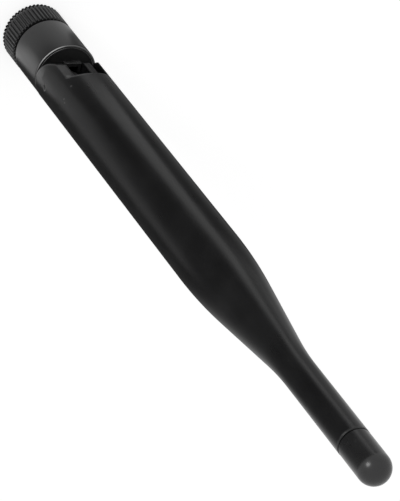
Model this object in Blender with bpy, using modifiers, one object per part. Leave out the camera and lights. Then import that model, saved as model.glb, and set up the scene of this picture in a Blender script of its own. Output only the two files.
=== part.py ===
"""A hinged whip antenna on a small threaded coaxial plug.

The antenna stands along +Z with its plug at the bottom. The origin is on the axis at the open end of
the coupling nut. The knuckle tilts towards +X about a pin that lies along Y.
"""
import math

import bmesh
import bpy
from mathutils import Matrix, Vector

MM = 0.001

# Clearances
gap = 0.3 * MM
sweep_gap = 0.15 * MM
merge = 0.001 * MM

# Coupling nut and its knurled grip
grip_radius = 4.975 * MM
grip_length = 5.1 * MM
grip_edge = 0.35 * MM
grip_top_edge = 0.1 * MM
grip_wall = 0.6 * MM
rib_count = 48
rib_depth = 0.33 * MM
rib_foot_share = 0.72
rib_tip_share = 0.28
nut_inset = 0.25 * MM
thread_radius = 3.0 * MM
undercut_depth = 0.3 * MM
undercut_length = 0.9 * MM
nut_back = 1.4 * MM

# Ferrule, the fixed core of the plug
nose_radius = 2.25 * MM
nose_recess = 2.2 * MM
neck_radius = 2.45 * MM
shaft_radius = 2.9 * MM
ferrule_wall = 0.65 * MM
ring_groove_depth = 0.45 * MM
oring_groove_depth = 0.8 * MM
shaft_below_oring = 1.0 * MM
retainer_above_oring = 2.5 * MM
shaft_above_ring = 0.6 * MM
tail_wall = 0.6 * MM
tail_length = 1.1 * MM
crimp_wall = 0.35 * MM
crimp_length = 0.8 * MM
snap_ring_height = 0.4 * MM
retainer_height = 0.4 * MM
retainer_reach = 0.3 * MM
ring_mouth = 1.2 * MM
oring_thickness = 0.5 * MM
gasket_thickness = 0.4 * MM

# Insulator and contact
contact_radius = 0.45 * MM
contact_recess = 0.35 * MM
contact_tip = 0.25 * MM
insulator_length = 6.6 * MM

# Swivel base
swivel_groove = 0.4 * MM
base_inset = 0.05 * MM
base_length = 8.45 * MM
base_roof = 1.05 * MM
base_top_edge = 0.3 * MM
rim_width = 0.5 * MM
rim_step = 0.2 * MM
base_foot_edge = 0.15 * MM

# Knuckle
knuckle_radius = 3.5 * MM
cheek_round_foot = -82.5
cheek_round_top = -7.5
hub_radius = 1.5 * MM
lip_drop = 1.15 * MM
lip_wall = 0.8 * MM
tongue_middle = 0.35 * MM
tongue_thickness = 2.7 * MM
tongue_wall = 0.45 * MM
tongue_back_drop = 1.4 * MM
neck_wall = 0.45 * MM
leaf_thickness = 1.0 * MM
relief_width = 1.6 * MM
relief_depth = 2.5 * MM
pin_radius = 0.6 * MM
pin_inset = 0.35 * MM
blind_wall = 0.5 * MM
knockout_radius = 0.33 * MM

# Radome
body_radius = 5.0 * MM
stem_radius = 2.42 * MM
body_length = 59.8 * MM
taper_length = 21.95 * MM
stem_length = 19.2 * MM
shoulder_reach = 6.0 * MM
foot_reach = 3.0 * MM
body_wall = 1.3 * MM
stem_wall = 0.8 * MM
cavity_floor = 3.0 * MM
cableway_radius = 1.25 * MM

# End cap
cap_length = 7.8 * MM
cap_radius = 2.4 * MM
spigot_length = 3.0 * MM

# Coax
coax_radius = 0.565 * MM

# Radiating parts
choke_wall = 0.3 * MM
choke_above_floor = 7.5 * MM
choke_top_below_taper = 4.0 * MM
collar_length = 6.0 * MM
collar_wall = 0.5 * MM
spacer_length = 2.0 * MM
bead_length = 2.0 * MM
crimp_tube_wall = 0.3 * MM
crimp_tube_length = 2.8 * MM
shrink_wall = 0.25 * MM
shrink_length = 4.6 * MM
wire_radius = 0.45 * MM
wire_below_cap = 0.95 * MM
stem_spacer_length = 2.0 * MM

# Heights along the axis, each from the piece below it
base_foot_z = grip_length + swivel_groove
base_top_z = base_foot_z + base_length
radome_foot_z = base_top_z + gap
pivot_z = radome_foot_z + knuckle_radius
taper_start_z = radome_foot_z + body_length
taper_end_z = taper_start_z + taper_length
stem_top_z = taper_end_z + stem_length
cap_foot_z = stem_top_z + gap
cap_top_z = cap_foot_z + cap_length
floor_z = pivot_z + knuckle_radius + gap + cavity_floor
choke_top_z = taper_start_z - choke_top_below_taper
choke_foot_z = floor_z + choke_above_floor
spigot_foot_z = cap_foot_z - gap - spigot_length

# Sides of the knuckle along Y, from the tongue outwards, and the pin's ends
tongue_left = tongue_middle + tongue_thickness / 2
tongue_right = tongue_middle - tongue_thickness / 2
slot_left = tongue_left + sweep_gap
slot_right = tongue_right - sweep_gap
relief_left = slot_right - leaf_thickness
relief_right = relief_left - relief_width
pin_left = body_radius - blind_wall - gap
pin_right = pin_inset - body_radius
roof_radius = knuckle_radius + gap

# Rings and bores that follow from the pieces beside them
base_radius = body_radius - base_inset
base_bore = shaft_radius + gap
nut_radius = grip_radius - rib_depth - grip_wall - gap
cavity_radius = body_radius - body_wall
choke_radius = cavity_radius - collar_wall - 2 * gap
bead_radius = choke_radius - choke_wall
stem_bore = stem_radius - stem_wall
insulator_bore = nose_radius - ferrule_wall
coax_bore = coax_radius + gap

outer_sides = 48
inner_sides = 32
small_sides = 16

parts = bpy.data.collections.new("hinged_whip_antenna")
cutters = bpy.data.collections.new("cutters")


def clear_scene():
    """Remove the objects that the file opens with, and link the two collections."""
    for thing in list(bpy.data.objects):
        bpy.data.objects.remove(thing, do_unlink=True)
    bpy.context.scene.collection.children.link(parts)
    bpy.context.scene.collection.children.link(cutters)


def finish(name, colour, roughness, metallic=0.0):
    """A plain Principled material."""
    material = bpy.data.materials.new(name)
    material.use_nodes = True
    shader = material.node_tree.nodes["Principled BSDF"]
    shader.inputs["Base Color"].default_value = (*colour, 1.0)
    shader.inputs["Roughness"].default_value = roughness
    shader.inputs["Metallic"].default_value = metallic
    material.diffuse_color = (*colour, 1.0)
    return material


def add(name, mesh, material=None):
    """Link a mesh as a part with its material, or as a cutter when it has none."""
    thing = bpy.data.objects.new(name, mesh)
    if material is None:
        cutters.objects.link(thing)
        thing.hide_render = True
        thing.display_type = "WIRE"
        return thing
    mesh.materials.append(material)
    parts.objects.link(thing)
    return thing


def boolean(target, operation, tool):
    """Cut, join or intersect with the exact solver."""
    change = target.modifiers.new(operation.lower() + "_" + tool.name, "BOOLEAN")
    change.operation = operation
    change.solver = "EXACT"
    change.object = tool


def turned(name, profile, sides, material=None, ring=False):
    """Turn a profile of (radius, height) about Z. It runs from top to bottom on its outer side."""
    mesh = bpy.data.meshes.new(name)
    points = [(radius, 0.0, height) for radius, height in profile]
    edges = [(i, i + 1) for i in range(len(points) - 1)]
    if ring:
        edges.append((len(points) - 1, 0))
    mesh.from_pydata(points, edges, [])
    thing = add(name, mesh, material)
    screw = thing.modifiers.new("turn", "SCREW")
    screw.axis = "Z"
    screw.angle = 2 * math.pi
    screw.steps = sides
    screw.render_steps = sides
    screw.use_merge_vertices = True
    screw.merge_threshold = merge
    screw.use_normal_calculate = False
    screw.use_smooth_shade = True
    return thing


def tube(name, outer, inner, foot, length, sides, material):
    """A plain turned ring or sleeve."""
    top = foot + length
    profile = [(outer, top), (outer, foot), (inner, foot), (inner, top)]
    return turned(name, profile, sides, material, ring=True)


def prism(name, outline, axis, low, high, material=None):
    """Extrude a closed outline along Y (points are x, z) or Z (points are x, y)."""
    shape = bmesh.new()
    if axis == "Y":
        corners = [shape.verts.new((a, low, b)) for a, b in outline]
        travel = Vector((0.0, high - low, 0.0))
    else:
        corners = [shape.verts.new((a, b, low)) for a, b in outline]
        travel = Vector((0.0, 0.0, high - low))
    face = shape.faces.new(corners)
    grown = bmesh.ops.extrude_face_region(shape, geom=[face])["geom"]
    moved = [item for item in grown if isinstance(item, bmesh.types.BMVert)]
    bmesh.ops.translate(shape, vec=travel, verts=moved)
    bmesh.ops.recalc_face_normals(shape, faces=shape.faces)
    mesh = bpy.data.meshes.new(name)
    shape.to_mesh(mesh)
    shape.free()
    return add(name, mesh, material)


def rod(name, radius, start, end, sides, material=None):
    """A straight round bar between two points."""
    start = Vector(start)
    along = Vector(end) - start
    turn = along.to_track_quat("Z", "Y").to_matrix().to_4x4()
    place = Matrix.Translation(start + along / 2) @ turn
    shape = bmesh.new()
    bmesh.ops.create_cone(
        shape,
        cap_ends=True,
        segments=sides,
        radius1=radius,
        radius2=radius,
        depth=along.length,
        matrix=place,
    )
    mesh = bpy.data.meshes.new(name)
    shape.to_mesh(mesh)
    shape.free()
    return add(name, mesh, material)


def arc(radius, start, end, count, centre=(0.0, 0.0)):
    """Points on an arc, from start to end in degrees, with both ends."""
    points = []
    for step in range(count + 1):
        angle = math.radians(start + (end - start) * step / count)
        points.append((centre[0] + radius * math.cos(angle), centre[1] + radius * math.sin(angle)))
    return points


def at_pivot(points):
    """Raise points that are given from the knuckle's pin to their real height."""
    return [(a, pivot_z + b) for a, b in points]


def blended_corner(corner, reach, slope_in, slope_out, count):
    """Points (radius, height) of a round corner between two lines of the radome's side.

    Both lines are given by their change of radius with height. The round starts and ends at the
    same distance along the axis from the corner.
    """
    radius, height = corner
    points = []
    for step in range(count + 1):
        t = step / count
        down = (radius - slope_in * reach, height - reach)
        up = (radius + slope_out * reach, height + reach)
        a = (1 - t) ** 2
        b = 2 * t * (1 - t)
        c = t**2
        points.append((a * down[0] + b * radius + c * up[0], a * down[1] + b * height + c * up[1]))
    return points


def make_grip(material):
    """Knurled sleeve: straight ribs round a bore, with both ends drawn in to a rounded edge."""
    root = grip_radius - rib_depth
    pitch = 2 * math.pi / rib_count
    outline = []
    for rib in range(rib_count):
        for share, radius in (
            (-rib_foot_share, root),
            (-rib_tip_share, grip_radius),
            (rib_tip_share, grip_radius),
            (rib_foot_share, root),
        ):
            angle = (rib + share / 2) * pitch
            outline.append((radius * math.cos(angle), radius * math.sin(angle)))
    grip = prism("grip_sleeve", outline, "Z", 0.0, grip_length, material)
    barrel = grip_radius + gap
    envelope = turned(
        "grip_envelope",
        [
            (0.0, grip_length),
            (grip_radius - grip_top_edge, grip_length),
            (barrel, grip_length - grip_top_edge - gap),
            (barrel, grip_edge + gap),
            (grip_radius - grip_edge, 0.0),
            (0.0, 0.0),
        ],
        outer_sides,
    )
    bore = rod(
        "grip_bore",
        nut_radius + gap,
        (0, 0, -grip_length),
        (0, 0, 2 * grip_length),
        outer_sides,
    )
    boolean(grip, "INTERSECT", envelope)
    boolean(grip, "DIFFERENCE", bore)


# The nut's inside, from its open end: thread, undercut, then the back that runs on the ferrule
undercut_top_z = grip_length - nut_back
undercut_foot_z = undercut_top_z - undercut_length
nut_bore = neck_radius + gap
snap_middle_z = grip_length - nut_back / 2
snap_groove = snap_ring_height / 2 + gap
snap_inner = neck_radius - ring_groove_depth + gap
snap_outer = nut_bore + gap
nut_groove_radius = snap_outer + gap


def make_nut(material):
    """Brass nut: turned, with a relief behind the thread and an inner groove for the snap ring."""
    low_groove = snap_middle_z - snap_groove
    high_groove = snap_middle_z + snap_groove
    turned(
        "coupling_nut",
        [
            (nut_radius, grip_length),
            (nut_radius, nut_inset),
            (thread_radius, nut_inset),
            (thread_radius, undercut_foot_z),
            (thread_radius + undercut_depth, undercut_foot_z),
            (thread_radius + undercut_depth, undercut_top_z),
            (nut_bore, undercut_top_z),
            (nut_bore, low_groove),
            (nut_groove_radius, low_groove),
            (nut_groove_radius, high_groove),
            (nut_bore, high_groove),
            (nut_bore, grip_length),
        ],
        inner_sides,
        material,
        ring=True,
    )


def open_ring(name, outer, inner, middle_z, height, material):
    """A flat spring ring with a mouth on its +X side."""
    ring = tube(name, outer, inner, middle_z - height / 2, height, inner_sides, material)
    side = ring_mouth / 2
    mouth = prism(
        name + "_mouth",
        [(0, -side), (2 * outer, -side), (2 * outer, side), (0, side)],
        "Z",
        middle_z - height,
        middle_z + height,
    )
    boolean(ring, "DIFFERENCE", mouth)


# The ferrule's shaft, from the base's foot upwards
shaft_foot_z = base_foot_z + gap
oring_middle_z = shaft_foot_z + shaft_below_oring + oring_thickness
oring_groove = oring_thickness / 2 + gap
retainer_middle_z = oring_middle_z + retainer_above_oring
retainer_groove = retainer_height / 2 + gap
shaft_top_z = retainer_middle_z + retainer_groove + shaft_above_ring
tail_radius = coax_bore + tail_wall
tail_top_z = shaft_top_z + tail_length
insulator_top_z = nose_recess + insulator_length
coax_foot_z = insulator_top_z + 2 * gap
retainer_outer = base_bore + retainer_reach
retainer_inner = shaft_radius - ring_groove_depth
oring_floor = shaft_radius - oring_groove_depth


def make_ferrule(material):
    """Turned core: nose, neck with the nut's ring groove, shaft with two grooves, crimp tail."""
    snap_floor = neck_radius - ring_groove_depth
    retainer_floor = retainer_inner - gap
    turned(
        "connector_ferrule",
        [
            (tail_radius, tail_top_z),
            (tail_radius, shaft_top_z),
            (shaft_radius, shaft_top_z),
            (shaft_radius, retainer_middle_z + retainer_groove),
            (retainer_floor, retainer_middle_z + retainer_groove),
            (retainer_floor, retainer_middle_z - retainer_groove),
            (shaft_radius, retainer_middle_z - retainer_groove),
            (shaft_radius, oring_middle_z + oring_groove),
            (oring_floor, oring_middle_z + oring_groove),
            (oring_floor, oring_middle_z - oring_groove),
            (shaft_radius, oring_middle_z - oring_groove),
            (shaft_radius, shaft_foot_z),
            (neck_radius, shaft_foot_z),
            (neck_radius, snap_middle_z + snap_groove),
            (snap_floor, snap_middle_z + snap_groove),
            (snap_floor, snap_middle_z - snap_groove),
            (neck_radius, snap_middle_z - snap_groove),
            (neck_radius, undercut_top_z),
            (nose_radius, undercut_top_z),
            (nose_radius, nose_recess),
            (insulator_bore, nose_recess),
            (insulator_bore, insulator_top_z + gap),
            (coax_bore, insulator_top_z + gap),
            (coax_bore, tail_top_z),
        ],
        inner_sides,
        material,
        ring=True,
    )


def make_contact(material):
    """Centre pin with a tapered tip below and its solder end at the coax."""
    top = insulator_top_z + gap / 2
    foot = contact_recess
    turned(
        "centre_contact",
        [
            (0.0, top),
            (contact_radius, top),
            (contact_radius, foot + contact_tip),
            (contact_radius - contact_tip, foot),
            (0.0, foot),
        ],
        small_sides,
        material,
    )


def make_oring(material):
    """Rubber ring in the shaft's groove."""
    middle = oring_floor + gap + oring_thickness / 2
    section = arc(oring_thickness / 2, 90, -247.5, 15, (middle, oring_middle_z))
    turned("swivel_oring", section, inner_sides, material, ring=True)


neck_front = knuckle_radius / 2
lip_back = knuckle_radius - lip_wall


def tongue_outline():
    """Side of the tongue, from the pin: neck, barrel front up to the lip, hub, back of the neck."""
    neck_back = roof_radius - 2 * gap
    depth = knuckle_radius + gap + base_roof / 2
    barrel_start = -math.degrees(math.acos(neck_front / knuckle_radius))
    barrel_end = -math.degrees(math.asin(lip_drop / knuckle_radius))
    hub_start = -math.degrees(math.asin(lip_drop / hub_radius))
    points = [(neck_front, -depth)]
    points += arc(knuckle_radius, barrel_start, barrel_end, 8)
    points += arc(hub_radius, hub_start, 180, 16)
    points += [(-neck_back, -tongue_back_drop), (-neck_back, -depth)]
    return at_pivot(points)


def cableway_outline(roof_z):
    """Side of the hollow in the tongue: narrow in the neck, then wide in front of the pin."""
    above = pivot_z + roof_radius
    neck_inside = neck_front - neck_wall
    return [
        (-2 * pin_radius, roof_z - gap),
        (neck_inside, roof_z - gap),
        (neck_inside, radome_foot_z + gap),
        (lip_back, pivot_z - lip_drop - gap),
        (lip_back, above),
        (-2 * pin_radius, above),
    ]


def make_base(material):
    """Swivel base: turned cup with a hollow tongue on its roof."""
    groove_low = retainer_middle_z - retainer_groove
    groove_high = retainer_middle_z + retainer_groove
    groove_radius = retainer_outer + gap
    roof_z = base_top_z - base_roof
    rim_radius = base_radius - rim_width
    edge = arc(base_top_edge, 90, 0, 4, (base_radius - base_top_edge, base_top_z - base_top_edge))
    profile = [(0.0, base_top_z - rim_step), (rim_radius, base_top_z - rim_step), (rim_radius, base_top_z)]
    profile += edge
    profile += [
        (base_radius, base_foot_z + base_foot_edge),
        (base_radius - base_foot_edge, base_foot_z),
        (base_bore, base_foot_z),
        (base_bore, groove_low),
        (groove_radius, groove_low),
        (groove_radius, groove_high),
        (base_bore, groove_high),
        (base_bore, roof_z),
        (0.0, roof_z),
    ]
    base = turned("swivel_base", profile, outer_sides, material)
    boolean(base, "UNION", prism("tongue", tongue_outline(), "Y", tongue_right, tongue_left))
    cableway = prism(
        "tongue_cableway",
        cableway_outline(roof_z),
        "Y",
        tongue_right + tongue_wall,
        tongue_left - tongue_wall,
    )
    boolean(base, "DIFFERENCE", cableway)
    pin_hole = rod(
        "tongue_pin_hole",
        pin_radius + gap,
        (0, slot_right, pivot_z),
        (0, slot_left, pivot_z),
        inner_sides,
    )
    boolean(base, "DIFFERENCE", pin_hole)


def radome_side():
    """Outside of the radome from its foot to the top of the stem, as (radius, height)."""
    slope = (stem_radius - body_radius) / taper_length
    foot = [(body_radius, radome_foot_z)]
    shoulder = blended_corner((body_radius, taper_start_z), shoulder_reach, 0.0, slope, 6)
    waist = blended_corner((stem_radius, taper_end_z), foot_reach, slope, 0.0, 6)
    top = [(stem_radius, stem_top_z)]
    return foot + shoulder + waist + top


def make_radome(material):
    """Body, taper and stem in one moulding, hollow, with the knuckle's cheeks at its foot."""
    side = radome_side()
    profile = [(0.0, stem_top_z)] + side[::-1] + [(0.0, radome_foot_z)]
    radome = turned("radome", profile, outer_sides, material)

    hollow = turned(
        "radome_hollow",
        [
            (0.0, stem_top_z + gap),
            (stem_bore, stem_top_z + gap),
            (stem_bore, taper_end_z),
            (cavity_radius, taper_start_z - shoulder_reach),
            (cavity_radius, floor_z),
            (0.0, floor_z),
        ],
        inner_sides,
    )
    boolean(radome, "DIFFERENCE", hollow)

    out = 2 * body_radius
    clearance = rod(
        "tilt_clearance",
        base_radius + sweep_gap,
        (knuckle_radius, 0, pivot_z),
        (out, 0, pivot_z),
        outer_sides,
    )
    boolean(radome, "DIFFERENCE", clearance)

    rounding = arc(knuckle_radius, cheek_round_foot, cheek_round_top, 10)
    outside = [(out, rounding[-1][1]), (out, -out), (rounding[0][0], -out)]
    cheek_round = prism("cheek_round", at_pivot(rounding + outside), "Y", -out, out)
    boolean(radome, "DIFFERENCE", cheek_round)

    roof = arc(roof_radius, 180, 90, 12)
    slot = at_pivot([(-roof_radius, -out)] + roof + [(out, roof_radius), (out, -out)])
    boolean(radome, "DIFFERENCE", prism("tongue_slot", slot, "Y", slot_right, slot_left))

    relief = at_pivot(
        [(-relief_depth, -out), (-relief_depth, roof_radius), (out, roof_radius), (out, -out)]
    )
    boolean(radome, "DIFFERENCE", prism("relief_slot", relief, "Y", relief_right, relief_left))

    pin_hole = rod(
        "cheek_pin_hole",
        pin_radius + gap,
        (0, -out, pivot_z),
        (0, pin_left + gap, pivot_z),
        inner_sides,
    )
    boolean(radome, "DIFFERENCE", pin_hole)
    knockout = rod("knockout_hole", knockout_radius, (0, 0, pivot_z), (0, out, pivot_z), small_sides)
    boolean(radome, "DIFFERENCE", knockout)

    cableway = rod(
        "radome_cableway",
        cableway_radius,
        (gap, 0, pivot_z + knuckle_radius),
        (gap, 0, floor_z + gap),
        inner_sides,
    )
    boolean(radome, "DIFFERENCE", cableway)


def make_cap(material):
    """End cap: domed top, and a spigot that plugs the stem."""
    dome = arc(cap_radius, 90, 0, 10, (0.0, cap_top_z - cap_radius))
    spigot_radius = stem_bore - gap
    profile = [(0.0, cap_top_z)] + dome[1:]
    profile += [
        (cap_radius, cap_foot_z),
        (spigot_radius, cap_foot_z),
        (spigot_radius, spigot_foot_z),
        (0.0, spigot_foot_z),
    ]
    turned("end_cap", profile, outer_sides, material)


def coax_route():
    """The coax's own points: up the ferrule, in front of the pin, back to the axis and to the feed."""
    side = (pin_radius + lip_back) / 2
    slot_roof_z = pivot_z + roof_radius
    middle = tongue_middle
    return [
        (0.0, 0.0, coax_foot_z),
        (0.0, 0.0, (coax_foot_z + tail_top_z) / 2),
        (0.0, 0.2 * middle, tail_top_z),
        (0.1 * side, 0.7 * middle, base_top_z - base_roof),
        (0.2 * side, middle, base_top_z),
        (0.4 * side, middle, pivot_z - 0.74 * knuckle_radius),
        (0.7 * side, middle, pivot_z - 0.45 * knuckle_radius),
        (0.95 * side, middle, pivot_z - 0.15 * knuckle_radius),
        (side, middle, pivot_z + 0.15 * knuckle_radius),
        (0.82 * side, middle, pivot_z + 0.5 * knuckle_radius),
        (0.5 * side, 0.7 * middle, pivot_z + 0.85 * knuckle_radius),
        (0.26 * side, 0.3 * middle, slot_roof_z + 0.2 * cavity_floor),
        (0.1 * side, 0.1 * middle, slot_roof_z + 0.7 * cavity_floor),
        (0.0, 0.0, slot_roof_z + 1.6 * cavity_floor),
        (0.0, 0.0, choke_foot_z),
        (0.0, 0.0, choke_top_z),
        (0.0, 0.0, feed_z),
    ]


def smooth_curve(points, between):
    """A Catmull-Rom curve through the points, with a few points between each two."""
    route = [Vector(point) for point in points]
    route = [2 * route[0] - route[1]] + route + [2 * route[-1] - route[-2]]
    line = []
    for i in range(1, len(route) - 2):
        before, here, there, after = route[i - 1 : i + 3]
        for step in range(between):
            t = step / between
            line.append(
                0.5
                * (
                    2 * here
                    + (there - before) * t
                    + (2 * before - 5 * here + 4 * there - after) * t**2
                    + (3 * here - before - 3 * there + after) * t**3
                )
            )
    line.append(route[-2])
    return line


def make_coax(material):
    """Thin coax, one tube along its route."""
    points = smooth_curve(coax_route(), 3)
    curve = bpy.data.curves.new("coax_cable", "CURVE")
    curve.dimensions = "3D"
    curve.bevel_depth = coax_radius
    curve.bevel_resolution = 3
    curve.use_fill_caps = True
    spline = curve.splines.new("POLY")
    spline.points.add(len(points) - 1)
    for target, point in zip(spline.points, points):
        target.co = (*point, 1.0)
    guide = bpy.data.objects.new("coax_guide", curve)
    bpy.context.scene.collection.objects.link(guide)
    bpy.context.view_layer.update()
    evaluated = guide.evaluated_get(bpy.context.evaluated_depsgraph_get())
    mesh = bpy.data.meshes.new_from_object(evaluated)
    shape = bmesh.new()
    shape.from_mesh(mesh)
    bmesh.ops.remove_doubles(shape, verts=shape.verts, dist=merge)
    bmesh.ops.recalc_face_normals(shape, faces=shape.faces)
    if shape.calc_volume(signed=True) < 0:
        bmesh.ops.reverse_faces(shape, faces=shape.faces)
    shape.to_mesh(mesh)
    shape.free()
    bpy.data.objects.remove(guide, do_unlink=True)
    mesh.name = "coax_cable"
    add("coax_cable", mesh, material)


# The feed point, above the choke sleeve
bead_foot_z = choke_top_z + gap
feed_z = bead_foot_z + bead_length + 2 * gap
wire_foot_z = feed_z + gap
crimp_tube_foot_z = bead_foot_z + bead_length + gap
crimp_tube_radius = coax_bore + crimp_tube_wall
shrink_bore = crimp_tube_radius + gap
wire_bore = wire_radius + gap


def make_choke(material):
    """Brass cup turned upside down over the coax, with a hole for it in the closed top."""
    inner = choke_radius - choke_wall
    ceiling = choke_top_z - 2 * choke_wall
    turned(
        "choke_sleeve",
        [
            (choke_radius, choke_top_z),
            (choke_radius, choke_foot_z),
            (inner, choke_foot_z),
            (inner, ceiling),
            (coax_bore, ceiling),
            (coax_bore, choke_top_z),
        ],
        inner_sides,
        material,
        ring=True,
    )


def make_insides(black, brass, clear, foam):
    """The dipole's small pieces, from the choke's foot up to the stem."""
    make_choke(brass)
    tube(
        "foam_collar",
        cavity_radius - gap,
        choke_radius + gap,
        choke_foot_z,
        collar_length,
        inner_sides,
        foam,
    )
    tube(
        "choke_spacer",
        choke_radius - choke_wall - gap,
        coax_bore,
        choke_foot_z,
        spacer_length,
        inner_sides,
        clear,
    )
    tube("feed_bead", bead_radius, coax_bore, bead_foot_z, bead_length, inner_sides, clear)
    tube(
        "feed_crimp",
        crimp_tube_radius,
        coax_bore,
        crimp_tube_foot_z,
        crimp_tube_length,
        small_sides,
        brass,
    )
    tube(
        "joint_sleeve",
        shrink_bore + shrink_wall,
        shrink_bore,
        crimp_tube_foot_z,
        shrink_length,
        inner_sides,
        black,
    )
    rod(
        "radiator_wire",
        wire_radius,
        (0, 0, wire_foot_z),
        (0, 0, spigot_foot_z - wire_below_cap),
        small_sides,
        brass,
    )
    tube(
        "stem_spacer",
        stem_bore - gap,
        wire_bore,
        taper_end_z + 2 * stem_spacer_length,
        stem_spacer_length,
        inner_sides,
        clear,
    )


def make_plug(brass, gold, white, rubber, steel):
    """The small pieces round and inside the ferrule."""
    open_ring("snap_ring", snap_outer, snap_inner, snap_middle_z, snap_ring_height, steel)
    gasket_foot_z = undercut_top_z - gap - gasket_thickness
    tube(
        "mating_gasket",
        thread_radius + undercut_depth - gap,
        nose_radius + gap,
        gasket_foot_z,
        gasket_thickness,
        inner_sides,
        rubber,
    )
    make_ferrule(gold)
    tube(
        "dielectric",
        insulator_bore - gap,
        contact_radius + gap,
        nose_recess,
        insulator_length,
        inner_sides,
        white,
    )
    make_contact(gold)
    tube(
        "crimp_ring",
        tail_radius + gap + crimp_wall,
        tail_radius + gap,
        shaft_top_z + gap,
        crimp_length,
        inner_sides,
        brass,
    )
    make_oring(rubber)
    open_ring(
        "base_retaining_ring",
        retainer_outer,
        retainer_inner,
        retainer_middle_z,
        retainer_height,
        steel,
    )


clear_scene()
black_plastic = finish("black_plastic", (0.02, 0.02, 0.021), 0.45)
grip_plastic = finish("grip_plastic", (0.016, 0.016, 0.017), 0.5)
cable_black = finish("cable_black", (0.012, 0.012, 0.012), 0.6)
yellow_brass = finish("yellow_brass", (0.62, 0.45, 0.18), 0.35, 1.0)
gold_plate = finish("gold_plate", (0.85, 0.62, 0.25), 0.25, 1.0)
white_insulator = finish("white_insulator", (0.85, 0.85, 0.82), 0.5)
dark_rubber = finish("dark_rubber", (0.03, 0.03, 0.03), 0.8)
spring_steel = finish("spring_steel", (0.55, 0.55, 0.56), 0.35, 1.0)
clear_plastic = finish("clear_plastic", (0.75, 0.76, 0.74), 0.35)
grey_foam = finish("grey_foam", (0.2, 0.2, 0.21), 0.9)

make_grip(grip_plastic)
make_nut(yellow_brass)
make_plug(yellow_brass, gold_plate, white_insulator, dark_rubber, spring_steel)
make_base(black_plastic)
rod(
    "hinge_pin",
    pin_radius,
    (0, pin_right, pivot_z),
    (0, pin_left, pivot_z),
    inner_sides,
    spring_steel,
)
make_radome(black_plastic)
make_cap(black_plastic)
make_coax(cable_black)
make_insides(cable_black, yellow_brass, clear_plastic, grey_foam)
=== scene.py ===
import math

import bmesh
import bpy
import numpy as np
from mathutils import Matrix, Vector


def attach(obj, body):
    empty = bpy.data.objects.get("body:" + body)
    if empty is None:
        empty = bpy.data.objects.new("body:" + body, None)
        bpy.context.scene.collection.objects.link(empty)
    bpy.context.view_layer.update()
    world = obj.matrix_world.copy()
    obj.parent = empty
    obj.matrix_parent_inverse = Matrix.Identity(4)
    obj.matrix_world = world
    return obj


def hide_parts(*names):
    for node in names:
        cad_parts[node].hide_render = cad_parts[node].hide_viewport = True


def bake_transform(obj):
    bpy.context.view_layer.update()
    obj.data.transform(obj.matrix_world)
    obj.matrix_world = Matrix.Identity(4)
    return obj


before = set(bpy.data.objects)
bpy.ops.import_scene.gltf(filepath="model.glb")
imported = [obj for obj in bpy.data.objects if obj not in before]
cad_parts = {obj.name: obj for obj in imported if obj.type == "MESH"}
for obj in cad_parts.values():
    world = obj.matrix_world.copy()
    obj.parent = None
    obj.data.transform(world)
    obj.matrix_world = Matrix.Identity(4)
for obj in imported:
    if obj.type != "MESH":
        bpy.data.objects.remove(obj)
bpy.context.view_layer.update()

# The view. The antenna stands on the open end of its nut and is seen from half-way up, from the
# side that the knuckle folds to, so that it runs from the upper left of the picture to the lower
# right. A long lens keeps its sides nearly parallel.
MM = 0.001
view_turn = math.radians(42.0)
view_rise = math.radians(50.0)
outward = Vector((math.cos(view_turn), math.sin(view_turn), 0.0))
upright = Vector((0.0, 0.0, 1.0))
across = upright.cross(outward)
toward = math.sin(view_rise) * upright + math.cos(view_rise) * outward
along = math.cos(view_rise) * upright - math.sin(view_rise) * outward
rightward, downward = 0.6158104, 0.78789438
picture_right = rightward * along - downward * across
picture_up = -downward * along - rightward * across
aim = 65.87 * MM * upright + 0.385 * MM * across
camera_distance = 480.8 * MM
lens = bpy.data.cameras.new("camera")
lens.sensor_width = 36.0
lens.lens = 247.97
camera = bpy.data.objects.new("camera", lens)
stand = Matrix((picture_right, picture_up, toward)).transposed().to_4x4()
stand.translation = aim + camera_distance * toward
camera.matrix_world = stand
bpy.context.scene.collection.objects.link(camera)
bpy.context.scene.camera = camera
bpy.context.scene.view_settings.view_transform = "Standard"


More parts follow.
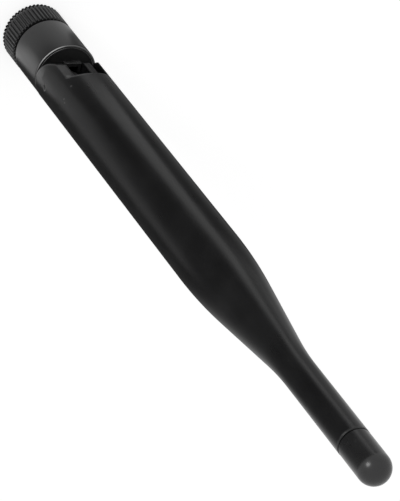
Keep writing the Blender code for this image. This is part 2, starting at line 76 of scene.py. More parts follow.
# The studio: a white room, a pale floor that keeps the shadow, a soft lamp in front, and low soft
# panels beside the antenna, whose images are the long stripes on the body. Gloss sees the room and
# the floor as white too, but for a painted shade: dim ground round the antenna and in front of it.
class Signal:
    """A socket of a material. Sums and products of signals add the nodes that work them out."""

    def __init__(self, tree, socket=None):
        self.tree = tree
        self.socket = socket

    def node(self, kind, settings=(), sockets=(), out=0):
        """Any node: its settings are set first, then its sockets get values or links.

        A colour is written as (red, green, blue).
        """
        made = self.tree.nodes.new("ShaderNode" + kind)
        for key, value in dict(settings).items():
            setattr(made, key, value)
        for key, value in dict(sockets).items():
            socket = made.inputs[key]
            if isinstance(value, Signal):
                self.tree.links.new(value.socket, socket)
            else:
                socket.default_value = (*value, 1.0) if socket.type == "RGBA" else value
        return Signal(self.tree, made.outputs[out] if len(made.outputs) else None)

    def maths(self, operation, first, second):
        """A Math node on two signals or numbers."""
        return self.node("Math", {"operation": operation}, {0: first, 1: second})

    def __add__(self, other):
        return self.maths("ADD", self, other)

    def __radd__(self, other):
        return self.maths("ADD", other, self)

    def __sub__(self, other):
        return self.maths("SUBTRACT", self, other)

    def __rsub__(self, other):
        return self.maths("SUBTRACT", other, self)

    def __mul__(self, other):
        return self.maths("MULTIPLY", self, other)

    def __rmul__(self, other):
        return self.maths("MULTIPLY", other, self)

    def __truediv__(self, other):
        return self.maths("DIVIDE", self, other)

    def __pow__(self, other):
        return self.maths("POWER", self, other)

    def between(self, low, high):
        """0 below low, 1 above high and a smooth step from one to the other."""
        return self.node(
            "MapRange",
            {"interpolation_type": "SMOOTHSTEP"},
            {"Value": self, "From Min": low, "From Max": high},
        )

    def distance(self, point):
        """How far this place is from a point."""
        return self.node("VectorMath", {"operation": "DISTANCE"}, {0: self, 1: point}, "Value")

    def noise(self, scale, detail):
        """Noise about 0.5, read at this place, with as many grains to the metre as its scale."""
        return self.node("TexNoise", sockets={"Vector": self, "Scale": scale, "Detail": detail})

    def mix(self, share, first, second):
        """A colour that goes from the first to the second as the share goes from 0 to 1."""
        return self.node("Mix", {"data_type": "RGBA"}, {"Factor": share, 6: first, 7: second}, 2)


def empty_material(name):
    """A material without nodes, the start of its signals, and the place on the piece, in metres."""
    material = bpy.data.materials.new(name)
    material.use_nodes = True
    material.node_tree.nodes.clear()
    wire = Signal(material.node_tree)
    return material, wire, wire.node("TexCoord", out="Object")


def kinds_of_ray(wire):
    """1 for what the camera sees, and 1 for what gloss or a clear material shows of it."""
    seen, glossy, through = (
        wire.node("LightPath", out=kind)
        for kind in ("Is Camera Ray", "Is Glossy Ray", "Is Transmission Ray")
    )
    return seen, glossy + through


def full_turn(sides):
    """As many even steps once round, in radians."""
    return np.arange(sides) * 2 * np.pi / sides


def carried_round(turn, radius, height):
    """Points at a radius and a height, row by row, at each turn about the antenna's axis."""
    shape = (len(height), len(turn))
    radius, height = np.broadcast_to(radius, shape), np.broadcast_to(height, shape)
    return np.stack([radius * np.cos(turn), radius * np.sin(turn), height], axis=-1)


def grid_mesh(name, points, ring=False):
    """Quads between the neighbours in a (rows, columns, 3) grid.

    The columns close round, and the rows too where the grid is a ring.
    """
    rows, columns = points.shape[:2]
    number = np.arange(rows * columns).reshape(rows, columns)
    number = np.concatenate([number, number[:, :1]], axis=1)
    if ring:
        number = np.concatenate([number, number[:1]], axis=0)
    quads = np.stack([number[:-1, :-1], number[:-1, 1:], number[1:, 1:], number[1:, :-1]], axis=-1)
    mesh = bpy.data.meshes.new(name)
    mesh.from_pydata(points.reshape(-1, 3), [], quads.reshape(-1, 4))
    return mesh


def floor_points():
    """A round floor a hair below the nut: rings whose radius grows as the square of the row."""
    rows, floor_radius, drop = 24, 3.0, 0.02 * MM
    radius = np.linspace(0.0, 1.0, rows)[:, None] ** 2 * floor_radius
    return carried_round(full_turn(96), radius, np.full((rows, 1), -drop))


white, paper_grey = (1.0, 1.0, 1.0), (0.5, 0.5, 0.5)
paper_glow = 0.72
dim = 0.06
dim_middle = 60 * MM * outward
dim_reach, white_reach = 118 * MM, 172 * MM
floor = bpy.data.objects.new("floor", grid_mesh("floor", floor_points()))
bpy.context.scene.collection.objects.link(floor)
floor_paint, wire, place = empty_material("floor_paint")
seen, mirrored = kinds_of_ray(wire)
matt = wire.node("BsdfDiffuse", sockets={"Color": paper_grey})
bright = wire.node("Emission", sockets={"Color": white, "Strength": paper_glow * seen})
paper = wire.node("AddShader", sockets={0: matt, 1: bright})
# Painted shade: what gloss sees of the floor is dim near a point in front of the antenna, and white
# farther out.
gloss_floor_shade = dim + (1.0 - dim) * place.distance(dim_middle).between(dim_reach, white_reach)
image = wire.node("Emission", sockets={"Color": white, "Strength": gloss_floor_shade})
both = wire.node("MixShader", sockets={0: mirrored, 1: paper, 2: image})
wire.node("OutputMaterial", sockets={"Surface": both})
floor.data.materials.append(floor_paint)

room = bpy.data.worlds.new("room")
bpy.context.scene.world = room
room.use_nodes = True
room.node_tree.nodes.clear()
wire = Signal(room.node_tree)
seen, mirrored = kinds_of_ray(wire)
room_level = 0.55
glow = room_level + (1.0 - room_level) * (seen + mirrored)
wall = wire.node("Background", sockets={"Color": white, "Strength": glow})
wire.node("OutputWorld", sockets={"Surface": wall})


def area_lamp(name, place, length, width, energy):
    """A rectangular lamp that shines along its own -Z, out of the camera's sight."""
    lamp = bpy.data.lights.new(name, "AREA")
    lamp.shape = "RECTANGLE"
    lamp.size = length
    lamp.size_y = width
    lamp.energy = energy
    lit = bpy.data.objects.new(name, lamp)
    lit.matrix_world = place
    lit.visible_camera = False
    bpy.context.scene.collection.objects.link(lit)


def standing_lamp(name, turn, rise, distance, size, energy):
    """A square lamp at a distance from the antenna's middle, at a compass turn and a rise."""
    level = math.cos(rise)
    way = Vector((math.cos(turn) * level, math.sin(turn) * level, math.sin(rise)))
    place = way.to_track_quat("Z", "Y").to_matrix().to_4x4()
    place.translation = aim + distance * way
    area_lamp(name, place, size, size, energy)


def low_panel(name, turn, near, length, width, tilt, shift, energy):
    """A lamp that lies beside the nut and faces up, with its far end raised by the tilt.

    It runs outwards from its near end along the turn, which counts from the view, and is shifted
    towards the front. Angles are in degrees and sizes in millimetres.
    """
    turn, tilt = view_turn + math.radians(turn), math.radians(tilt)
    near, length, width, shift = near * MM, length * MM, width * MM, shift * MM
    above_floor = 0.6 * MM
    out = Vector((math.cos(turn), math.sin(turn), 0.0))
    lengthwise = math.cos(tilt) * out + math.sin(tilt) * upright
    face = math.cos(tilt) * upright - math.sin(tilt) * out
    place = Matrix((lengthwise, (-face).cross(lengthwise), -face)).transposed().to_4x4()
    middle = near * out + length / 2 * lengthwise
    place.translation = above_floor * upright + middle + shift * outward
    area_lamp(name, place, length, width, energy)


lamp_turn, lamp_rise = view_turn + math.radians(13.0), math.radians(11.0)
standing_lamp("front_lamp", lamp_turn, lamp_rise, distance=0.6, size=0.18, energy=1.1)
# Turn, near end, length, width, tilt, shift and watts.
low_panel("right_panel", -56.0, 22, 96, 22, 33.0, 0, 0.0043)
low_panel("right_tip_panel", -70.0, 80, 35, 120, 0.0, 0, 0.0052)
low_panel("left_panel", 90.0, 8, 62, 24, 0.0, 17, 0.0016)
low_panel("left_foot_panel", 90.0, 6, 11, 11, 0.0, 6, 0.00043)
low_panel("back_panel", -130.0, 8, 102, 30, 0.0, 0, 0.0011)
low_panel("foot_panel", -90.0, -6, 21, 30, 0.0, 0, 0.0013)


# The grip sleeve, a black plastic ring moulded with 48 straight ribs and pressed over the nut.
# Its open end is drawn in to a rounded edge, and the ribs run out there; the other end is square
# and steps up to a thin lip that covers the nut.
grip_radius = 4.975 * MM
grip_length = 4.7 * MM
grip_bore = 4.045 * MM
foot_round, head_round = 0.35 * MM, 0.16 * MM
bore_chamfer = 0.08 * MM
step_radius = 4.2 * MM
cover_radius, cover_bore = 4.1 * MM, 3.1 * MM
cover_foot, cover_top = 5.13 * MM, 5.22 * MM
rib_count = 48
rib_depth = 0.33 * MM
rib_points = 14
rib_land, rib_flank = 0.1, 0.3
doubled, sliver = 0.0005 * MM, 0.0002 * MM
crease = math.radians(35.0)


def close_up(mesh, for_cutting=False):
    """Merge doubled points at seams and poles, and turn the faces outwards.

    The sign of the volume that they enclose says which way that is. A mesh for cutting has its
    faces made to agree first, and a finished one loses its slivers.
    """
    shape = bmesh.new()
    shape.from_mesh(mesh)
    bmesh.ops.remove_doubles(shape, verts=shape.verts, dist=doubled)
    if for_cutting:
        bmesh.ops.recalc_face_normals(shape, faces=shape.faces)
    else:
        bmesh.ops.dissolve_degenerate(shape, edges=shape.edges, dist=sliver)
    if shape.calc_volume(signed=True) < 0:
        bmesh.ops.reverse_faces(shape, faces=shape.faces)
    shape.to_mesh(mesh)
    shape.free()


def piece_from(mesh, material, body, node):
    """A mesh as a piece of the same name: closed, smooth but for sharp edges, and linked.

    It rides on its body, or is left to be blended where it has none.
    """
    close_up(mesh)
    mesh.polygons.foreach_set("use_smooth", np.ones(len(mesh.polygons), bool))
    mesh.set_sharp_from_angle(angle=crease)
    mesh.materials.clear()
    mesh.materials.append(material)
    piece = bpy.data.objects.new(mesh.name, mesh)
    bpy.context.scene.collection.objects.link(piece)
    if body:
        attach(piece, body)
    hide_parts(node)
    return piece


def turned_points(section, sides):
    """A section of (radius, height) carried round the antenna's axis."""
    return carried_round(full_turn(sides), section[:, :1], section[:, 1:])


def ribbed_points():
    """The sleeve's section carried round: outside, its radius is the lesser of rib and edge.

    A rib is a smooth step from root to tip on each flank, and each end's edge is a quarter round.
    The land and the flank are shares of the pitch, from the middle of the rib's tip outwards.
    """
    sides = rib_count * rib_points
    turn = full_turn(sides)
    share = np.abs((turn * rib_count / (2 * np.pi) + 0.5) % 1.0 - 0.5)
    flank = np.clip((share - rib_land) / rib_flank, 0.0, 1.0)
    rib = grip_radius - rib_depth * flank**2 * (3 - 2 * flank)
    quarter = np.linspace(0.0, np.pi / 2, 9)
    wall = np.linspace(foot_round, grip_length - head_round, 8)[1:-1]
    height = np.concatenate(
        [
            foot_round - foot_round * np.cos(quarter),
            wall,
            grip_length - head_round + head_round * np.sin(quarter),
        ]
    )
    edge = np.concatenate(
        [
            grip_radius - foot_round + foot_round * np.sin(quarter),
            np.full(len(wall), grip_radius),
            grip_radius - head_round + head_round * np.cos(quarter),
        ]
    )
    bore = np.array(
        [
            (step_radius, grip_length), (cover_radius, cover_top), (cover_bore, cover_top),
            (cover_bore, cover_foot), (grip_bore, cover_foot), (grip_bore, bore_chamfer),
            (grip_bore + bore_chamfer, 0.0),
        ]
    )
    outside = carried_round(turn, np.minimum(rib, edge[:, None]), height[:, None])
    return np.concatenate([outside, turned_points(bore, sides)])


def surface(wire, colour, roughness, dents, **others):
    """The shader of a finish and its output, with the sockets of the Bump node that dents it."""
    sockets = {"Base Color": colour, "Roughness": roughness, **others}
    shader = wire.node(
        "BsdfPrincipled", sockets={**sockets, "Normal": wire.node("Bump", sockets=dents)}
    )
    wire.node("OutputMaterial", sockets={"Surface": shader})


def moulded_black(name, colour, roughness, grain=0.35, edge=0.0, settled=0.0, rim=None, marks=()):
    """Black moulded plastic: fine mould grain, faint flow along the axis, light marks, dust.

    The grain and the flow are noise in the piece's own coordinates; dust is the brightest part
    of a fine noise where a broad noise lets it gather. Edge is the radius that rounds the edges.
    Settled is the grey of the dust that lies on faces that look up. In millimetres, rim is the
    (inner radius, outer radius, height) of an edge whose inner and outer lips get a painted
    highlight, brightest on the side of the view, and marks are light patches, some scuffs and some
    painted highlights: (x, y, z, inner, outer) colours what lies between two distances from a
    point.
    """
    rim_highlight_grey, scuff_and_highlight_grey = (0.8, 0.8, 0.8), (0.09, 0.09, 0.09)
    material, wire, place = empty_material(name)
    stretched = wire.node("Mapping", sockets={"Vector": place, "Scale": (1.0, 1.0, 0.12)})
    fine = place.noise(7000.0, 2.0)
    broad = place.noise(170.0, 3.0)
    flow = stretched.noise(900.0, 3.0)
    speck = place.noise(2600.0, 1.0)
    dust = speck.between(0.68, 0.76) * broad.between(0.45, 0.7)
    worn = roughness + 0.10 * (broad - 0.5) + 0.08 * (flow - 0.5) + 0.25 * dust
    paler = tuple(1.3 * c + 0.005 for c in colour)
    base = wire.mix(0.35 * broad.between(0.35, 0.75) + 0.5 * dust, colour, paler)
    if settled:
        normal = wire.node("NewGeometry", out="Normal")
        looks_up = wire.node("SeparateXYZ", sockets={0: normal}, out="Z").between(0.8, 0.98)
        base = wire.mix(looks_up * (0.7 + 0.6 * (flow - 0.5)), base, (settled, settled, settled))
    if rim:
        inner, outer, level = (size * MM for size in rim)
        x, y, z = (wire.node("SeparateXYZ", sockets={0: place}, out=axis) for axis in "XYZ")
        from_axis = (x * x + y * y) ** 0.5
        top = z.between(level - 0.2 * MM, level - 0.05 * MM)
        past_inner = from_axis.between(inner + 0.04 * MM, inner + 0.14 * MM)
        inside = from_axis.between(inner - 0.1 * MM, inner) * (1.0 - past_inner)
        outside = from_axis.between(outer - 0.16 * MM, outer - 0.04 * MM)
        to_view = (0.71 * x + 0.7 * y) / from_axis
        # Painted highlight: the inner and outer lips of the rim are painted pale grey, most on the
        # side of the view.
        rim_highlight = (0.2 + 0.8 * to_view.between(0.75, 0.98)) * (0.6 + 0.4 * broad.between(0.4, 0.6))
        worn = worn - (roughness - 0.2) * top
        base = wire.mix(top * (inside + outside) * rim_highlight, base, rim_highlight_grey)
    # Each mark is painted light grey: some are scuffs, and some are painted highlights.
    for x, y, z, inner, outer in marks:
        away = place.distance((x * MM, y * MM, z * MM))
        starts = away.between((inner - 0.06) * MM, inner * MM)
        scuff_and_highlight = starts * (1.0 - away.between(0.6 * outer * MM, outer * MM))
        base = wire.mix(scuff_and_highlight * (0.4 + 0.5 * speck), base, scuff_and_highlight_grey)
    dents = {"Height": fine + 0.6 * flow, "Strength": grain, "Distance": 0.012 * MM}
    if edge:
        dents["Normal"] = wire.node("Bevel", {"samples": 6}, {"Radius": edge})
    surface(wire, base, worn, dents, IOR=1.49)
    return material


grip_black = moulded_black("grip_black", (0.01, 0.01, 0.0104), roughness=0.38)
grip_mesh = grid_mesh("grip_ribs", ribbed_points(), ring=True)
piece_from(grip_mesh, grip_black, "nut", "grip_sleeve")


# The coupling nut, turned brass under the sleeve, with the right-handed 36 turns to the inch
# thread that screws onto the jack, and a relief behind it.
nut_foot = 0.25 * MM
thread_radius = 3.0 * MM
thread_depth = 0.34 * MM
thread_top = 2.8 * MM
turns_to_the_inch = 36
thread_pitch = 25.4 / turns_to_the_inch * MM
run_out = 0.33 * thread_pitch


def thread_points():
    """Section of the nut carried round, with a thread in its bore.

    The thread's radius is a triangle wave of height and turn, cut flat at crest and root. It
    fades to nothing over the run-out at both ends.
    """
    rows, sides = 110, 120
    turn = full_turn(sides)
    height = np.linspace(nut_foot, thread_top, rows)[:, None]
    phase = (height / thread_pitch - turn / (2 * np.pi)) % 1.0
    wave = np.clip(2.6 * (np.abs(phase - 0.5) - 0.25), -0.5, 0.5)
    ends = np.minimum(height - nut_foot, thread_top - height) / run_out
    inside = thread_radius + thread_depth * wave * np.clip(ends, 0.0, 1.0)
    rest = np.array(
        [
            (3.3, 2.8), (3.3, 3.7), (2.75, 3.7), (2.75, 3.9), (3.35, 3.9), (3.35, 4.9),
            (2.75, 4.9), (2.75, 5.1), (3.7, 5.1), (3.745, 5.05), (3.745, 0.35), (3.645, 0.25),
            (3.2, 0.25),
        ]
    ) * MM
    return np.concatenate([carried_round(turn, inside, height), turned_points(rest, sides)])


def turned_metal(name, colour, roughness, marks=0.4, tarnish=0.5):
    """Turned, plated metal: fine rings of the tool along the axis, and tarnish in patches."""
    material, wire, place = empty_material(name)
    rings = wire.node("Mapping", sockets={"Vector": place, "Scale": (0.02, 0.02, 1.0)})
    tool = rings.noise(14000.0, 2.0)
    film = place.noise(700.0, 4.0).between(0.45, 0.75)
    base = wire.mix(tarnish * film, colour, tuple(0.55 * c for c in colour))
    worn = roughness + 0.18 * film + 0.1 * (tool - 0.5)
    dents = {"Height": tool, "Strength": marks, "Distance": 0.01 * MM}
    surface(wire, base, worn, dents, Metallic=1.0)
    return material


nut_brass = turned_metal("nut_brass", (0.62, 0.45, 0.18), roughness=0.3)
nut_mesh = grid_mesh("threaded_nut", thread_points(), ring=True)
piece_from(nut_mesh, nut_brass, "nut", "coupling_nut")


# The plug's core, turned brass with gold plate: the nose that meets the jack, the neck that
# carries the nut's ring, and the shaft that the base turns on. The white insulator holds the
# gold contact.
def rounded(corners, steps=6, closed=True):
    """Points of a section from rows of (radius, height, rounding), in millimetres.

    Each corner is replaced by a quadratic curve that leaves the straight sides at its rounding's
    distance from the corner. Points nearer than the least step to the one before are left out.
    """
    least_step = 0.0008 * MM
    corners = np.array(corners, float) * MM
    point, reach = corners[:, :2], corners[:, 2:]
    before, after = np.roll(point, 1, axis=0), np.roll(point, -1, axis=0)
    if not closed:
        before[0], after[-1] = point[0], point[-1]
    back, forth = before - point, after - point
    back /= np.maximum(np.linalg.norm(back, axis=1, keepdims=True), 1e-12)
    forth /= np.maximum(np.linalg.norm(forth, axis=1, keepdims=True), 1e-12)
    start, end = point + reach * back, point + reach * forth
    t = np.linspace(0.0, 1.0, steps + 1)[:, None, None]
    curve = (1 - t) ** 2 * start + 2 * t * (1 - t) * point + t**2 * end
    line = curve.transpose(1, 0, 2).reshape(-1, 2)
    kept = np.linalg.norm(line - np.roll(line, 1, axis=0), axis=1) > least_step
    kept[0] = True
    return line[kept]


def turned_piece(name, corners, material, body, node, sides=144, closed=True):
    """A section with rounded corners, in millimetres, carried round the antenna's axis."""
    points = turned_points(rounded(corners, closed=closed), sides)
    piece_from(grid_mesh(name, points, ring=closed), material, body, node)


core_gold = turned_metal("core_gold", (0.83, 0.6, 0.24), roughness=0.22, marks=0.25, tarnish=0.25)
turned_piece(
    "plug_core_turned",
    [
        (1.465, 12.0, 0.05), (1.465, 10.9, 0.0), (2.9, 10.9, 0.1), (2.9, 10.3, 0.03),
        (2.15, 10.3, 0.0), (2.15, 9.3, 0.0), (2.9, 9.3, 0.03), (2.9, 7.85, 0.03),
        (2.1, 7.85, 0.0), (2.1, 6.75, 0.0), (2.9, 6.75, 0.03), (2.9, 5.8, 0.08),
        (2.45, 5.8, 0.0), (2.45, 4.9, 0.03), (2.0, 4.9, 0.0), (2.0, 3.9, 0.0),
        (2.45, 3.9, 0.03), (2.45, 3.7, 0.05), (2.25, 3.7, 0.0), (2.25, 2.2, 0.1),
        (1.6, 2.2, 0.1), (1.6, 9.1, 0.0), (0.865, 9.1, 0.0), (0.865, 12.0, 0.05),
    ],
    core_gold,
    "plug_core",
    "connector_ferrule",
)

contact_gold = turned_metal(
    "contact_gold", (0.87, 0.64, 0.26), roughness=0.18, marks=0.15, tarnish=0.15
)
turned_piece(
    "gold_contact",
    [(0.0, 8.95, 0.0), (0.45, 8.95, 0.05), (0.45, 0.6, 0.1), (0.2, 0.35, 0.08), (0.0, 0.35, 0.0)],
    contact_gold,
    "plug_core",
    "centre_contact",
    sides=64,
    closed=False,
)


def milky_plastic(name, colour, roughness):
    """Milky plastic, turned or moulded: faint clouds in its colour and a fine uneven skin."""
    material, wire, place = empty_material(name)
    cloud = place.noise(500.0, 3.0)
    fine = place.noise(6000.0, 2.0)
    base = wire.mix(cloud.between(0.3, 0.7), colour, tuple(0.88 * c for c in colour))
    dents = {"Height": fine, "Strength": 0.3, "Distance": 0.01 * MM}
    surface(wire, base, roughness + 0.1 * (fine - 0.5), dents)
    return material


insulator_white = milky_plastic("insulator_white", (0.8, 0.8, 0.77), roughness=0.45)
turned_piece(
    "white_insulator",
    [(1.3, 8.8, 0.05), (1.3, 2.2, 0.08), (0.75, 2.2, 0.08), (0.75, 8.8, 0.05)],
    insulator_white,
    "plug_core",
    "dielectric",
    sides=96,
)


# The seals and spring rings in the plug: a soft washer at the bottom of the nut, the rubber ring
# that gives the swivel its friction, and two wire rings that hold the nut and the base on the
# core. The brass crimp ring holds the coax's braid there.
def soft_rubber(name, colour):
    """Black rubber: dull, with a fine bloom and the faint pores of a moulded ring."""
    material, wire, place = empty_material(name)
    bloom = place.noise(900.0, 4.0)
    pore = place.noise(9000.0, 1.0)
    base = wire.mix(bloom.between(0.45, 0.8), colour, tuple(2.2 * c + 0.01 for c in colour))
    dents = {"Height": pore, "Strength": 0.5, "Distance": 0.015 * MM}
    surface(wire, base, 0.7 + 0.2 * (bloom - 0.5), dents)
    return material


seal_rubber = soft_rubber("seal_rubber", (0.025, 0.025, 0.026))
turned_piece(
    "soft_washer",
    [(3.0, 3.4, 0.08), (3.0, 3.0, 0.08), (2.55, 3.0, 0.08), (2.55, 3.4, 0.08)],
    seal_rubber,
    "plug_core",
    "mating_gasket",
    sides=96,
)


def dress(material, *names):
    """Give CAD nodes a material as their only one."""
    for name in names:
        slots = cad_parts[name].data.materials
        slots.clear()
        slots.append(material)


ring_steel = turned_metal("ring_steel", (0.52, 0.52, 0.53), roughness=0.3, marks=0.3, tarnish=0.2)
crimp_brass = turned_metal("crimp_brass", (0.6, 0.43, 0.17), roughness=0.38, marks=0.5, tarnish=0.5)
dress(seal_rubber, "swivel_oring")
dress(ring_steel, "snap_ring", "base_retaining_ring")
dress(crimp_brass, "crimp_ring")


# The swivel base, a black moulded cup that turns on the core, with a hollow tongue on its roof:
# a flat-fronted lip, a hub round the pin and a neck at the back. The coax rises inside it.
rim_bore, rim_radius = 4.45, 4.95  # in millimetres, as rounded and moulded_black take them
rim_top, roof = 13.95, 13.75
pivot = 17.75 * MM
pin_bore = 0.9 * MM
tongue_right, tongue_left, tongue_wall = -1.0 * MM, 1.7 * MM, 0.45 * MM
tongue_back, tongue_foot = -3.2 * MM, -4.325 * MM
lip_root = 1.75 * MM
lip_front, lip_foot, lip_top = 3.3 * MM, -2.1 * MM, -1.15 * MM
hub_radius = 1.5 * MM


def prism(near, far):
    """Two like loops of points joined by a wall, with one face across each of them."""
    count = len(near)
    number = np.arange(count)
    after = np.roll(number, -1)
    wall = np.column_stack([number, after, after + count, number + count]).tolist()
    ends = [number[::-1].tolist(), (number + count).tolist()]
    mesh = bpy.data.meshes.new("prism")
    mesh.from_pydata(np.concatenate([near, far]), [], wall + ends)
    return mesh


def plate(outline, low, high):
    """A closed outline of (x, height above the pivot) carried along Y from low to high."""
    x, z = outline[:, 0], outline[:, 1] + pivot
    near = np.column_stack([x, np.full(len(x), low), z])
    return prism(near, near + (0.0, high - low, 0.0))


def bar(radius, start, end, sides=96):
    """A round bar between two points: a circle across the line, carried from one to the other."""
    start, end = np.array(start, float), np.array(end, float)
    way = (end - start) / np.linalg.norm(end - start)
    other = np.array([0.0, 0.0, 1.0]) if abs(way[2]) < 0.9 else np.array([1.0, 0.0, 0.0])
    first = np.cross(way, other)
    first /= np.linalg.norm(first)
    second = np.cross(way, first)
    turn = full_turn(sides)[:, None]
    circle = radius * (np.cos(turn) * first + np.sin(turn) * second)
    return prism(start + circle, end + circle)


def work_object(mesh):
    """A mesh with merged points and outward faces, as an object for cutting."""
    close_up(mesh, for_cutting=True)
    work = bpy.data.objects.new("work", mesh)
    bpy.context.scene.collection.objects.link(work)
    return work


def carved(name, mesh, steps):
    """The mesh after a list of (operation, tool mesh), each worked out by the exact solver."""
    work = work_object(mesh)
    tools = []
    for operation, tool in steps:
        tools.append(work_object(tool))
        change = work.modifiers.new("cut", "BOOLEAN")
        change.operation = operation
        change.solver = "EXACT"
        change.object = tools[-1]
    bpy.context.view_layer.update()
    ready = work.evaluated_get(bpy.context.evaluated_depsgraph_get())
    made = bpy.data.meshes.new_from_object(ready)
    made.name = name
    for old in [work, *tools]:
        bpy.data.objects.remove(old, do_unlink=True)
    return made


def sweep(radius, start, end, count, middle=(0.0, 0.0)):
    """Points on an arc about a middle, from start to end in degrees."""
    turn = np.radians(np.linspace(start, end, count))
    return np.column_stack([middle[0] + radius * np.cos(turn), middle[1] + radius * np.sin(turn)])


cup_section = rounded(
    [
        (0.0, roof, 0.0), (rim_bore, roof, 0.05), (rim_bore, rim_top, 0.08),
        (rim_radius, rim_top, 0.3), (rim_radius, 5.5, 0.3), (3.2, 5.5, 0.1), (3.2, 9.3, 0.0),
        (3.8, 9.3, 0.0), (3.8, 10.3, 0.0), (3.2, 10.3, 0.0), (3.2, 12.9, 0.0), (0.0, 12.9, 0.0),
    ],
    steps=8,
    closed=False,
)
tongue_side = np.concatenate(
    [
        [(lip_root, tongue_foot), (lip_root, -3.0 * MM)],
        [(lip_front, lip_foot), (lip_front, lip_top)],
        sweep(hub_radius, math.degrees(math.asin(lip_top / hub_radius)), 180.0, 48),
        [(tongue_back, -1.4 * MM), (tongue_back, tongue_foot)],
    ]
)
cableway_side = np.array(
    [(-1.2, -5.15), (1.3, -5.15), (1.3, -3.2), (2.7, -1.45), (2.7, 3.8), (-1.2, 3.8)]
) * MM
base_mesh = carved(
    "swivel_cup",
    grid_mesh("cup", turned_points(cup_section, 256)),
    [
        ("UNION", plate(tongue_side, tongue_right, tongue_left)),
        ("DIFFERENCE", plate(cableway_side, tongue_right + tongue_wall, tongue_left - tongue_wall)),
        ("DIFFERENCE", bar(pin_bore, (0, -3 * MM, pivot), (0, 3 * MM, pivot))),
    ],
)
base_black = moulded_black(
    "base_black",
    (0.005, 0.005, 0.0053),
    roughness=0.33,
    grain=0.3,
    edge=0.1 * MM,
    settled=0.02,
    # The rim's lips get a painted highlight, and a light patch is painted on the roof beside the
    # tongue.
    rim=(rim_bore, rim_radius, rim_top),
    marks=[(2.06, -1.01, roof, 0.0, 0.35)],
)
piece_from(base_mesh, base_black, "base", "swivel_base")


# The coax, a thin black cable from the core through the hollow tongue, in front of the pin, and
# up to the feed point. It bends where the knuckle folds.
coax_radius = 0.565 * MM
coax_points = np.array(
    [
        (0.0, 0.0, 9.4), (0.0, 0.0, 10.7), (0.0, 0.07, 12.0), (0.17, 0.25, 12.9),
        (0.33, 0.35, 13.95), (0.66, 0.35, 15.16), (1.16, 0.35, 16.18), (1.57, 0.35, 17.22),
        (1.65, 0.35, 18.28), (1.35, 0.35, 19.5), (0.83, 0.25, 20.73), (0.43, 0.1, 22.15),
        (0.17, 0.03, 23.65), (0.0, 0.0, 26.35), (0.0, 0.0, 32.05), (0.0, 0.0, 70.05),
        (0.0, 0.0, 72.95),
    ]
) * MM


def smooth_line(points, between):
    """A cubic curve through the points, with so many steps between each two.

    At each point it runs the way of the line between the two points beside it.
    """
    ends = np.concatenate([[2 * points[0] - points[1]], points, [2 * points[-1] - points[-2]]])
    t = np.linspace(0.0, 1.0, between, endpoint=False)[None, :, None]
    a, b, c, d = (ends[i : len(ends) - 3 + i, None] for i in range(4))
    squared = (2 * a - 5 * b + 4 * c - d) * t**2
    cubed = (3 * b - a - 3 * c + d) * t**3
    curve = 0.5 * (2 * b + (c - a) * t + squared + cubed)
    return np.concatenate([curve.reshape(-1, 3), points[-1:]])


def cable_points(line, radius, sides):
    """Circles across a line that stays near the plane of the knuckle, with flat closed ends."""
    way = np.gradient(line, axis=0)
    way /= np.linalg.norm(way, axis=1, keepdims=True)
    first = np.cross(way, (0.0, 1.0, 0.0))
    first /= np.linalg.norm(first, axis=1, keepdims=True)
    second = np.cross(way, first)
    turn = full_turn(sides)[None, :, None]
    tube = line[:, None] + radius * (np.cos(turn) * first[:, None] + np.sin(turn) * second[:, None])
    foot = np.broadcast_to(line[:1, None], (1, sides, 3))
    head = np.broadcast_to(line[-1:, None], (1, sides, 3))
    return np.concatenate([foot, tube, head])


coax_black = moulded_black("coax_black", (0.01, 0.01, 0.01), roughness=0.5, grain=0.2)
coax_mesh = grid_mesh("coax_bent", cable_points(smooth_line(coax_points, 8), coax_radius, 32))
coax = piece_from(coax_mesh, coax_black, None, "coax_cable")
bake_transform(coax)


# The radome, one black moulding: the fork of the knuckle, the wide body, the taper and the stem.
# The fork is rounded about the pin and flat in front, slotted for the tongue, and relieved on
# the right so that a thin leaf is left beside the slot.
body_radius = 5.0 * MM
stem_radius = 2.42 * MM
radome_foot = 14.25 * MM
taper_start, taper_end = 74.05 * MM, 96.0 * MM
stem_top = 115.2 * MM
knuckle_radius = 3.5 * MM
slot_radius, slot_right, slot_left = 3.8 * MM, -1.15 * MM, 1.85 * MM
relief_right, relief_left = -3.75 * MM, -2.15 * MM
relief_back = -2.5 * MM
front_radius = 5.1 * MM
pin_wall = 4.5 * MM
knock_out_radius = 0.33 * MM
cable_bore, cable_x = 1.25 * MM, 0.3 * MM
outside_all = 12 * MM  # farther out than the radome, for the shapes that cut it


def radome_outside():
    """The outside from foot to stem: straight lines, with a long soft curve at each of two corners.

    A corner's curve is quadratic, from its reach below to its reach above the corner.
    """
    slope = (stem_radius - body_radius) / (taper_end - taper_start)
    start_reach, end_reach, bevel = 6.0 * MM, 3.0 * MM, 0.06 * MM
    t = np.linspace(0.0, 1.0, 25)[:, None]

    def corner(radius, height, reach, slope_in, slope_out):
        down = np.array([radius - slope_in * reach, height - reach])
        up = np.array([radius + slope_out * reach, height + reach])
        return (1 - t) ** 2 * down + 2 * t * (1 - t) * np.array([radius, height]) + t**2 * up

    return np.concatenate(
        [
            [(0.0, radome_foot), (body_radius, radome_foot)],
            corner(body_radius, taper_start, start_reach, 0.0, slope),
            corner(stem_radius, taper_end, end_reach, slope, 0.0),
            [(stem_radius, stem_top - bevel), (stem_radius - bevel, stem_top), (0.0, stem_top)],
        ]
    )


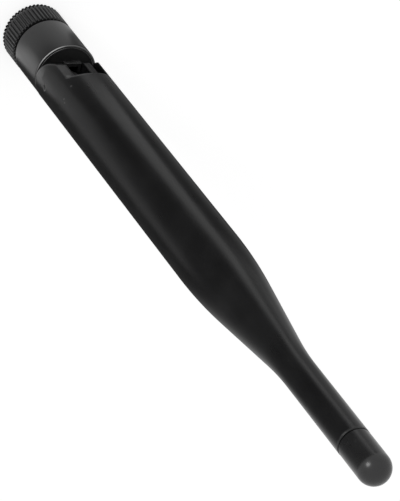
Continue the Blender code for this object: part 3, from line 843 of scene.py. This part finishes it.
hollow_section = np.array(
    [(0.0, 115.5), (1.62, 115.5), (1.62, 96.0), (3.7, 68.05), (3.7, 24.55), (0.0, 24.55)]
) * MM
round_foot = sweep(knuckle_radius, -82.5, -7.5, 48)
foot_outline = np.concatenate(
    [
        round_foot,
        [(outside_all, round_foot[-1, 1]), (outside_all, -outside_all)],
        [(round_foot[0, 0], -outside_all)],
    ]
)
slot_outline = np.concatenate(
    [
        [(-slot_radius, -outside_all)],
        sweep(slot_radius, 180.0, 90.0, 40),
        [(outside_all, slot_radius), (outside_all, -outside_all)],
    ]
)
relief_outline = np.array(
    [
        (relief_back, -outside_all), (relief_back, slot_radius),
        (outside_all, slot_radius), (outside_all, -outside_all),
    ]
)
radome_mesh = carved(
    "whip_shell",
    grid_mesh("outside", turned_points(radome_outside(), 256)),
    [
        ("DIFFERENCE", grid_mesh("hollow", turned_points(hollow_section, 96))),
        ("DIFFERENCE", bar(front_radius, (knuckle_radius, 0, pivot), (outside_all, 0, pivot), 192)),
        ("DIFFERENCE", plate(foot_outline, -outside_all, outside_all)),
        ("DIFFERENCE", plate(slot_outline, slot_right, slot_left)),
        ("DIFFERENCE", plate(relief_outline, relief_right, relief_left)),
        ("DIFFERENCE", bar(pin_bore, (0, -outside_all, pivot), (0, pin_wall, pivot))),
        ("DIFFERENCE", bar(knock_out_radius, (0, 0, pivot), (0, outside_all, pivot), 48)),
        ("DIFFERENCE", bar(cable_bore, (cable_x, 0, 21.25 * MM), (cable_x, 0, 24.85 * MM))),
    ],
)
radome_black = moulded_black(
    "radome_black",
    (0.005, 0.005, 0.0053),
    roughness=0.3,
    grain=0.3,
    edge=0.5 * MM,
    # Light marks: a painted highlight at the top of the flat, where the shoulder edge ends; three
    # small scuffs on the body above the knuckle; a light ring round the knock-out hole.
    marks=[
        (3.5, 2.9, 21.0, 0.0, 0.55), (3.41, 3.66, 23.8, 0.0, 0.24), (1.6, 4.74, 24.4, 0.0, 0.2),
        (1.3, 4.83, 25.0, 0.0, 0.2), (0.0, 5.0, 17.75, 0.35, 0.7),
    ],
)
piece_from(radome_mesh, radome_black, "whip", "radome")


# The hinge pin, drawn steel with rounded ends, pushed in from the right until it meets the thin
# wall on the left; a small hole there lets it be driven out again.
def pin_points():
    """The pin's section, with rounded ends, carried round the pin's own axis along Y."""
    section = rounded(
        [(0.0, -4.65, 0.0), (0.6, -4.65, 0.15), (0.6, 4.2, 0.15), (0.0, 4.2, 0.0)], closed=False
    )
    x, z, y = np.moveaxis(turned_points(section, 64), -1, 0)
    return np.stack([x, y, z + pivot], axis=-1)


pin_mesh = grid_mesh("steel_pin", pin_points())
piece_from(pin_mesh, ring_steel, "whip", "hinge_pin")


# The end cap, moulded in the same black plastic, with a round end. Its spigot is glued into the
# stem, and the seam between the two shows near the tip.
cap_radius, dome_centre = 2.4 * MM, 120.9 * MM
cap_black = moulded_black("cap_black", (0.011, 0.011, 0.0114), roughness=0.28, grain=0.3)
cap_section = np.concatenate(
    [
        rounded(
            [(0.0, 111.9, 0.0), (1.32, 111.9, 0.1), (1.32, 115.5, 0.0), (2.4, 115.5, 0.06)],
            closed=False,
        ),
        sweep(cap_radius, 0.0, 90.0, 32, (0.0, dome_centre)),
    ]
)
cap_mesh = grid_mesh("round_cap", turned_points(cap_section, 192))
piece_from(cap_mesh, cap_black, "whip", "end_cap")


# Inside the radome, from the foot up: the brass cup over the coax with its foam collar and
# spacer, the bead and the crimped joint at the feed point, and the brass rod in the stem.
def grey_foam(name, colour):
    """Closed-cell foam: small cells that dent the skin, with a painted shade that darkens them
    where they are deep.
    """
    material, wire, place = empty_material(name)
    cell = wire.node("TexVoronoi", sockets={"Vector": place, "Scale": 3500.0}, out="Distance")
    deep = cell.between(0.2, 0.8)
    # Painted shade: the deep middles of the cells are darkened.
    base = wire.mix(deep, tuple(0.45 * c for c in colour), colour)
    dents = {"Height": cell, "Strength": 0.8, "Distance": 0.05 * MM}
    surface(wire, base, 0.8 + 0.15 * deep, dents)
    return material


choke_brass = turned_metal(
    "choke_brass", (0.6, 0.44, 0.18), roughness=0.34, marks=0.35, tarnish=0.6
)
spacer_clear = milky_plastic("spacer_clear", (0.68, 0.69, 0.66), roughness=0.32)
collar_foam = grey_foam("collar_foam", (0.2, 0.2, 0.21))
joint_black = moulded_black("joint_black", (0.012, 0.012, 0.012), roughness=0.45, grain=0.6)
dress(choke_brass, "choke_sleeve", "radiator_wire")
dress(crimp_brass, "feed_crimp")
dress(collar_foam, "foam_collar")
dress(spacer_clear, "choke_spacer", "feed_bead", "stem_spacer")
dress(joint_black, "joint_sleeve")
